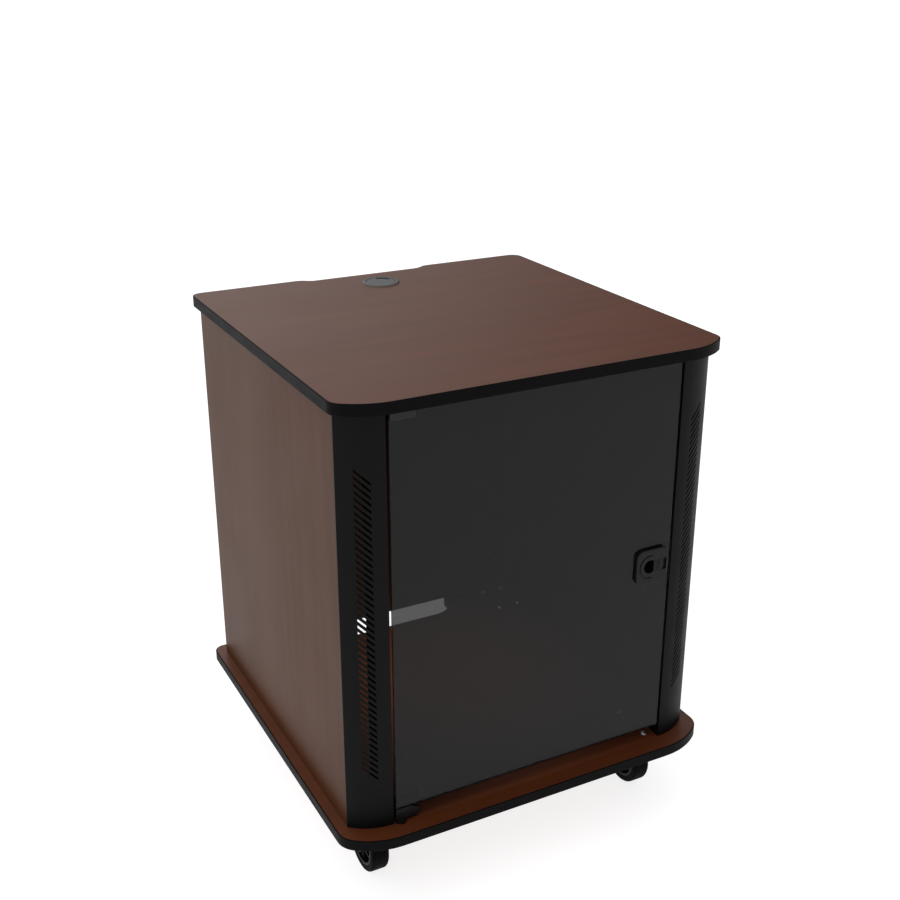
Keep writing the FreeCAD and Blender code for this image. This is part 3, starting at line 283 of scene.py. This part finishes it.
# %% The glass
THROUGH_ALL = 0.07
glass, tree, shader, place = start(
    "tinted_toughened_float_glass", IOR=1.52, Roughness=0.04, Specular_IOR_Level=0.2,
    Alpha=1 - math.sqrt(THROUGH_ALL))
haze = add(tree, "ShaderNodeTexNoise", {"Scale": 1000 / 90, "Detail": 2.0},
           {"Vector": place})[0]
tint = add(tree, "ShaderNodeMix", {6: colour("#151617"), 7: colour("#191a1b")}, {0: haze},
           data_type="RGBA")[2]
waves = add(tree, "ShaderNodeBump", {"Strength": 0.3, "Distance": 0.05 * MM},
            {"Height": haze})[0]
tree.links.new(tint, shader.inputs["Base Color"])
tree.links.new(waves, shader.inputs["Normal"])
finishes["smoked_glass"] = glass
print("made", glass.name, "with alpha", round(shader.inputs["Alpha"].default_value, 2))

# %% [markdown]
# ## Every imported piece gets its finish
# Each imported mesh arrives with a plain material named after its slot in the record, so the
# slot's name finds the real finish. The laminate is laid with its grain across the two
# boards and upright on the sides and the rear door, the way such cabinets are cut. The
# upright copy is also painted with shade: darker tones and a weaker sheen than the boards'.
# The pins and the strike stand beside black fittings, so they are black plated to match.

# %% Dress the imported pieces
BLACK_PLATED = ("lower_pivot_pin", "upper_pivot_pin", "strike_plate")
for name, piece in sorted(nodes.items()):
    slot = piece.data.materials[0].name.split(".")[0]
    if slot == "laminate":
        finish = laminate_across if name.endswith("_board") else laminate_upright_shaded
    elif name in BLACK_PLATED:
        finish = finishes["bracket_steel"]
    else:
        finish = finishes[slot]
    for index in range(len(piece.data.materials)):
        piece.data.materials[index] = finish

# %% [markdown]
# ## Putting a new mesh in place
# A new piece needs a mesh, smooth shading that breaks at its corners, a finish, and a body
# to ride on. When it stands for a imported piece, that one is hidden from the pictures but
# stays in the physics. Weighted normals keep wide flats flat beside a narrow rounding.

# %% Finish a mesh as a piece
CREASE = math.radians(40)


def into_piece(name, mesh, node):
    """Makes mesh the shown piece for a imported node: same finish, same body."""
    for face in mesh.polygons:
        face.use_smooth = True
    mesh.set_sharp_from_angle(angle=CREASE)
    mesh.materials.clear()
    mesh.materials.append(nodes[node].data.materials[0])
    piece = bpy.data.objects.new(name, mesh)
    bpy.context.scene.collection.objects.link(piece)
    weighted = piece.modifiers.new("flats stay flat", "WEIGHTED_NORMAL")
    weighted.keep_sharp = True
    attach(piece, nodes[node]["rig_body"])
    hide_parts(node)
    return piece


# %% [markdown]
# ## Rounded edges
# Cast, pressed, moulded and ground parts have no knife edges: a casting has a radius of half
# a millimetre, and ground glass a small polished arris. Those roundings catch a thin line of
# light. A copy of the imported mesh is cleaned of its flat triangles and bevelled, and stands
# for the plain one. A bevel modifier would do too, but on the triangles it finds no edges
# long enough to round.

# %% Copies with rounded edges
ROUNDED_MM = {
    "door_glass": 0.7,
    "upper_glass_clamp": 0.6,
    "lower_glass_shoe": 0.6,
    "latch_thumb_tab": 0.5,
    "strike_plate": 0.3,
    "rear_hinge_plates": 0.5,
    "rear_hinge_arms": 1.2,
    "rear_lock_cam": 0.5,
    "rear_lock_keeper": 0.8,
    "post_brackets": 0.5,
    "caster_plates": 0.5,
    **{f"{corner}_caster_fork": 0.7
       for corner in ("front_left", "front_right", "rear_left", "rear_right")},
}
WELD = 0.002 * MM
FLAT = math.radians(0.5)
EDGE = math.radians(35)


def cleaned(node):
    """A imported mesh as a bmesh, with its corners joined and its flats in one face each."""
    bm = bmesh.new()
    bm.from_mesh(nodes[node].data)
    bmesh.ops.remove_doubles(bm, verts=bm.verts, dist=WELD)
    bmesh.ops.dissolve_limit(bm, angle_limit=FLAT, verts=bm.verts, edges=bm.edges)
    return bm


for node, width in ROUNDED_MM.items():
    bm = cleaned(node)
    edges = [e for e in bm.edges if len(e.link_faces) == 2 and e.calc_face_angle(0) > EDGE]
    bmesh.ops.bevel(bm, geom=edges, offset=width * MM, segments=2, profile=0.5,
                    affect="EDGES", clamp_overlap=True)
    mesh = bpy.data.meshes.new(f"{node}_rounded")
    bm.to_mesh(mesh)
    bm.free()
    into_piece(f"{node}_rounded", mesh, node)
    print("rounded", len(edges), "edges of", node)

# %% [markdown]
# ## Turning on a lathe
# Tyres, wheel centres and screw heads are all round, so each is drawn as half a section and
# turned. Blender has a screw modifier for that. Here the rings are built directly, so the
# axis, the centre and the number of steps are in plain sight.

# %% A lathe
AXES = {
    "X": (Vector((0, 1, 0)), Vector((0, 0, 1)), Vector((1, 0, 0))),
    "Y": (Vector((0, 0, 1)), Vector((1, 0, 0)), Vector((0, 1, 0))),
    "Z": (Vector((1, 0, 0)), Vector((0, 1, 0)), Vector((0, 0, 1))),
}


def lathe(section, axis, centre, steps):
    """Turns (radius, distance along the axis) points in mm; an end on the axis closes it."""
    across, up, along = AXES[axis]
    bm = bmesh.new()
    rings = []
    for step in range(steps):
        angle = 2 * math.pi * step / steps
        out = across * math.cos(angle) + up * math.sin(angle)
        rings.append([bm.verts.new(centre + (out * r + along * z) * MM) for r, z in section])
    closed = section[0][0] > 0
    for here, there in zip(rings, rings[1:] + rings[:1]):
        for i in range(len(section) if closed else len(section) - 1):
            j = (i + 1) % len(section)
            bm.faces.new((here[i], here[j], there[j], there[i]))
    bmesh.ops.remove_doubles(bm, verts=bm.verts, dist=WELD)
    bmesh.ops.recalc_face_normals(bm, faces=bm.faces)
    return bm


# %% [markdown]
# ## Caster wheels
# Each wheel is a rubber tyre moulded on to a plastic centre. The tyre has rounded shoulders,
# a ring moulded into each side, and a fine line round the tread where the mould parts. The
# centre has six ribs on each side between its boss and its rim, which stiffen a thin web.
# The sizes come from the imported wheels' own boxes, so the new ones can't drift from them.

# %% Tyres and wheel centres
SHOULDER_MM = 5
SHOULDER_STEPS = 6
RIBS = 6
RIB_HALF_MM = 1.3
WHEEL_STEPS = 96


def both_sides(half):
    """A closed section from its half on the far side, mirrored about the wheel's middle."""
    return half + [(r, -z) for r, z in reversed(half) if z > 0]


def tyre_section(inside, outside, half):
    """From the seat on the centre, over the side ring and shoulder, to the parting line."""
    side = [(inside, half - 1), (inside + 3, half), (inside + 3.6, half),
            (inside + 4, half - 0.6), (inside + 5, half - 0.6), (inside + 5.4, half)]
    shoulder = []
    for step in range(SHOULDER_STEPS + 1):
        angle = math.pi / 2 * (1 - step / SHOULDER_STEPS)
        shoulder.append((outside - SHOULDER_MM + SHOULDER_MM * math.cos(angle),
                         half - SHOULDER_MM + SHOULDER_MM * math.sin(angle)))
    return both_sides(side + shoulder + [(outside, 0.6), (outside - 0.35, 0.0)])


def ribbed_centre(centre, rim, half, boss=12.0, bearing=5.05, web=3.0):
    """The turned wheel centre, with ribs between its boss and its rim."""
    end = half + 1.5
    bm = lathe(both_sides([
        (bearing, end), (boss - 0.6, end), (boss, end - 0.6), (boss + 0.8, web + 1.2),
        (boss + 2, web), (rim - 5.5, web), (rim - 4.4, web + 1), (rim - 4, half - 1.6),
        (rim - 3.4, half - 1), (rim, half - 1)]), "X", centre, WHEEL_STEPS)
    for rib in range(RIBS):
        turn = Matrix.Rotation(2 * math.pi * rib / RIBS, 4, "X")
        for side in (-1, 1):
            corners = []
            for reach, height in ((boss - 1, half - 2), (rim - 3.8, half - 5)):
                for across in (-RIB_HALF_MM, RIB_HALF_MM):
                    for level in (web - 1, height):
                        point = Vector((side * level, across, reach)) * MM
                        corners.append(bm.verts.new(centre + turn @ point))
            faces = ((0, 1, 3, 2), (4, 6, 7, 5), (0, 4, 5, 1), (2, 3, 7, 6), (0, 2, 6, 4),
                     (1, 5, 7, 3))
            for face in faces:
                bm.faces.new([corners[i] for i in face])
    bmesh.ops.recalc_face_normals(bm, faces=bm.faces)
    return bm


for corner in ("front_left", "front_right", "rear_left", "rear_right"):
    low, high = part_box(f"{corner}_tyre")
    middle = (low + high) / 2
    outside = (high.z - low.z) / 2 / MM
    half = (high.x - low.x) / 2 / MM
    hub_low, hub_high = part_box(f"{corner}_wheel_hub")
    rim = (hub_high.z - hub_low.z) / 2 / MM
    for node, bm in (
            (f"{corner}_tyre", lathe(tyre_section(rim, outside, half), "X", middle, WHEEL_STEPS)),
            (f"{corner}_wheel_hub", ribbed_centre(middle, rim, half))):
        mesh = bpy.data.meshes.new(f"{node}_moulded")
        bm.to_mesh(mesh)
        bm.free()
        into_piece(f"{node}_moulded", mesh, node)
print("turned 4 tyres and 4 wheel centres of", round(outside), "mm radius")

# %% [markdown]
# ## Screws with real heads
# A screw reads as a screw by its domed head and its cross recess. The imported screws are
# plain turned shapes, many in one piece, so each island of joined vertices is measured: its
# middle, its length, and the end where it is widest, which is the head. A new screw is
# turned to those sizes and a cross is cut into its head with a boolean.

# %% Screws and bolts
SCREW_STEPS = 32
DOME_SHARES = (0.35, 0.6, 0.8, 0.93, 1.0)
DOME_FALL = 0.75
POINT_MM = 0.6
CROSS_SPAN = 0.5
CROSS_DEPTH = 0.55
WEDGE_FOOT = 0.55
WEDGE_THICK = (0.26, 0.16)


def islands(node):
    """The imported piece's separate solids, each as an array of its points."""
    bm = bmesh.new()
    bm.from_mesh(nodes[node].data)
    bmesh.ops.remove_doubles(bm, verts=bm.verts, dist=WELD)
    left = set(bm.verts)
    found = []
    while left:
        reached = {left.pop()}
        fringe = list(reached)
        while fringe:
            vert = fringe.pop()
            for edge in vert.link_edges:
                other = edge.other_vert(vert)
                if other in left:
                    left.discard(other)
                    reached.add(other)
                    fringe.append(other)
        found.append(np.array([v.co[:] for v in reached]))
    bm.free()
    return found


def carve(mesh, tool):
    """mesh with tool cut out of it, by a boolean modifier that lets the tool cross itself."""
    block = bpy.data.objects.new("block", mesh)
    cutter = bpy.data.objects.new("cutter", tool)
    for spare in (block, cutter):
        bpy.context.scene.collection.objects.link(spare)
    boolean = block.modifiers.new("recess", "BOOLEAN")
    boolean.object = cutter
    boolean.operation = "DIFFERENCE"
    boolean.use_self = True
    graph = bpy.context.evaluated_depsgraph_get()
    carved = bpy.data.meshes.new_from_object(block.evaluated_get(graph))
    for spare in (block, cutter):
        bpy.data.objects.remove(spare)
    return carved


def cross_cutter(size, depth):
    """Two crossed wedges, narrower at the foot, sunk to depth and standing clear above Z = 0."""
    bm = bmesh.new()
    for turn in (0, math.pi / 2):
        wedge = bmesh.ops.create_cube(bm, size=1)["verts"]
        for vert in wedge:
            deep = vert.co.z < 0
            wide = size * (WEDGE_FOOT if deep else 1)
            thick = size * WEDGE_THICK[deep]
            vert.co = Vector((vert.co.x * 2 * wide, vert.co.y * 2 * thick,
                              -depth if deep else 0.4 * depth))
        bmesh.ops.rotate(bm, verts=wedge, cent=(0, 0, 0), matrix=Matrix.Rotation(turn, 3, "Z"))
    mesh = bpy.data.meshes.new("cross")
    bm.to_mesh(mesh)
    bm.free()
    return mesh


def screw(head_radius, head_high, shank_radius, length):
    """A screw whose head's underside is at Z = 0, with its shank down -Z. All in mm."""
    dome = [(0, head_high)]
    for share in DOME_SHARES:
        dome.append((head_radius * share, head_high * (1 - DOME_FALL * share ** 2.4)))
    bm = lathe(dome + [(head_radius, 0), (shank_radius, 0), (shank_radius, 0.8 - length),
                       (shank_radius - POINT_MM, -length), (0, -length)],
               "Z", Vector(), SCREW_STEPS)
    mesh = bpy.data.meshes.new("screw")
    bm.to_mesh(mesh)
    bm.free()
    top = cross_cutter(head_radius * CROSS_SPAN * MM, head_high * CROSS_DEPTH * MM)
    top.transform(Matrix.Translation((0, 0, head_high * MM)))
    return carve(mesh, top)


SCREWS = {
    # axis, and the height of the head in mm
    "caster_bolts": ("Z", 3.6),
    "fitting_screws": ("X", 2.2),
    "latch_screws": ("Y", 2.4),
}
POINTED = {
    "X": Matrix.Rotation(math.pi / 2, 4, "Y"),
    "Y": Matrix.Rotation(-math.pi / 2, 4, "X"),
    "Z": Matrix.Identity(4),
}
for node, (axis, head_high) in SCREWS.items():
    number = "XYZ".index(axis)
    everything = bmesh.new()
    count = 0
    for points in islands(node):
        low, high = points.min(0), points.max(0)
        middle = (low + high) / 2
        away = np.delete(points - middle, number, axis=1)
        radii = np.hypot(away[:, 0], away[:, 1])
        near_high = points[:, number] > middle[number]
        up = radii[near_high].max() > radii[~near_high].max()
        shank = radii[~near_high if up else near_high].max() / MM
        length = (high - low)[number] / MM - head_high
        mesh = screw(radii.max() / MM, head_high, shank, length)
        flip = Matrix.Identity(4) if up else Matrix.Rotation(math.pi, 4, "X")
        under_head = middle.copy()
        under_head[number] = (high if up else low)[number] + (-head_high if up else head_high) * MM
        mesh.transform(Matrix.Translation(under_head) @ POINTED[axis] @ flip)
        everything.from_mesh(mesh)
        count += 1
    mesh = bpy.data.meshes.new(f"{node}_turned")
    everything.to_mesh(mesh)
    everything.free()
    into_piece(f"{node}_turned", mesh, node)
    print("turned", count, "screws for", node)

# %% [markdown]
# ## Floor and light
# A product picture is taken in a white room: a pale floor that runs out of sight, and soft
# light from all round. The floor gives off most of its own brightness and takes the rest
# from the room, so a faint shadow stays under the cabinet. The room is a sky that brightens
# smoothly towards one side, like one large softbox at the back left, and that is what gives
# the top board its slope from pale to dark. It is also bright overhead, which lights the
# boards more than the upright sides. One weak lamp hangs inside under the top board, aimed
# down: without it nothing would show through smoked glass. The floor is a huge light that
# rays find by themselves, so it is left out of the list of lamps that Cycles aims at.

# %% Floor and studio
FLOOR_HALF_M = 60
FLOOR_GLOW = 0.82
ROOM_DARK = 0.03
ROOM_BRIGHT = 0.77
CEILING = 0.8
SOFTBOX_SIDE = (-0.886, 0.463, 0.0)
SOFTBOX_EDGE = 0.36
CEILING_EDGES = (0.45, 0.8)
LAMP_SIDE_M = 0.3
LAMP_SPREAD = 54
LAMP_WATTS = 0.6
LAMP_PLACE_M = (0.05, 0.05)
LAMP_DROP_MM = 5
floor_mesh = bpy.data.meshes.new("floor")
floor_mesh.from_pydata(
    [(x * FLOOR_HALF_M, y * FLOOR_HALF_M, 0) for x, y in ((-1, -1), (1, -1), (1, 1), (-1, 1))],
    [], [(0, 1, 2, 3)])
floor = bpy.data.objects.new("floor", floor_mesh)
bpy.context.scene.collection.objects.link(floor)
floor_paint, tree, shader, place = start(
    "white_studio_floor", Roughness=0.9, Specular_IOR_Level=0.0, Emission_Strength=FLOOR_GLOW)
shader.inputs["Base Color"].default_value = colour("#a8a8a8")
shader.inputs["Emission Color"].default_value = colour("#ffffff")
floor_paint.cycles.emission_sampling = "NONE"
floor_mesh.materials.append(floor_paint)

world = bpy.data.worlds.new("soft_room")
world.use_nodes = True
tree = world.node_tree
sky_place = add(tree, "ShaderNodeTexCoord")["Generated"]
towards_box = add(tree, "ShaderNodeVectorMath", {1: SOFTBOX_SIDE}, {0: sky_place},
                  operation="DOT_PRODUCT")["Value"]
brightness = add(tree, "ShaderNodeMapRange",
                 {"From Min": -SOFTBOX_EDGE, "From Max": SOFTBOX_EDGE, "To Min": ROOM_DARK,
                  "To Max": ROOM_BRIGHT}, {"Value": towards_box},
                 interpolation_type="SMOOTHSTEP")[0]
height = add(tree, "ShaderNodeSeparateXYZ", feeds={"Vector": sky_place})["Z"]
overhead = add(tree, "ShaderNodeMapRange",
               {"From Min": CEILING_EDGES[0], "From Max": CEILING_EDGES[1],
                "To Max": CEILING}, {"Value": height}, interpolation_type="SMOOTHSTEP")[0]
both = add(tree, "ShaderNodeMath", feeds={0: brightness, 1: overhead}, operation="ADD")[0]
tree.links.new(both, tree.nodes["Background"].inputs["Strength"])
tree.nodes["Background"].inputs["Color"].default_value = (1, 1, 1, 1)
bpy.context.scene.world = world

lamp_data = bpy.data.lights.new("work_lamp_inside", "AREA")
lamp_data.shape = "SQUARE"
lamp_data.size = LAMP_SIDE_M
lamp_data.spread = math.radians(LAMP_SPREAD)
lamp_data.energy = LAMP_WATTS
lamp = bpy.data.objects.new("work_lamp_inside", lamp_data)
lamp.location = (*LAMP_PLACE_M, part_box("top_board")[0].z - LAMP_DROP_MM * MM)
bpy.context.scene.collection.objects.link(lamp)
# The Standard view keeps the floor white; the default one would grey it like film.
bpy.context.scene.view_settings.view_transform = "Standard"
print("floor and room are lit, with a lamp of", LAMP_WATTS, "W inside")
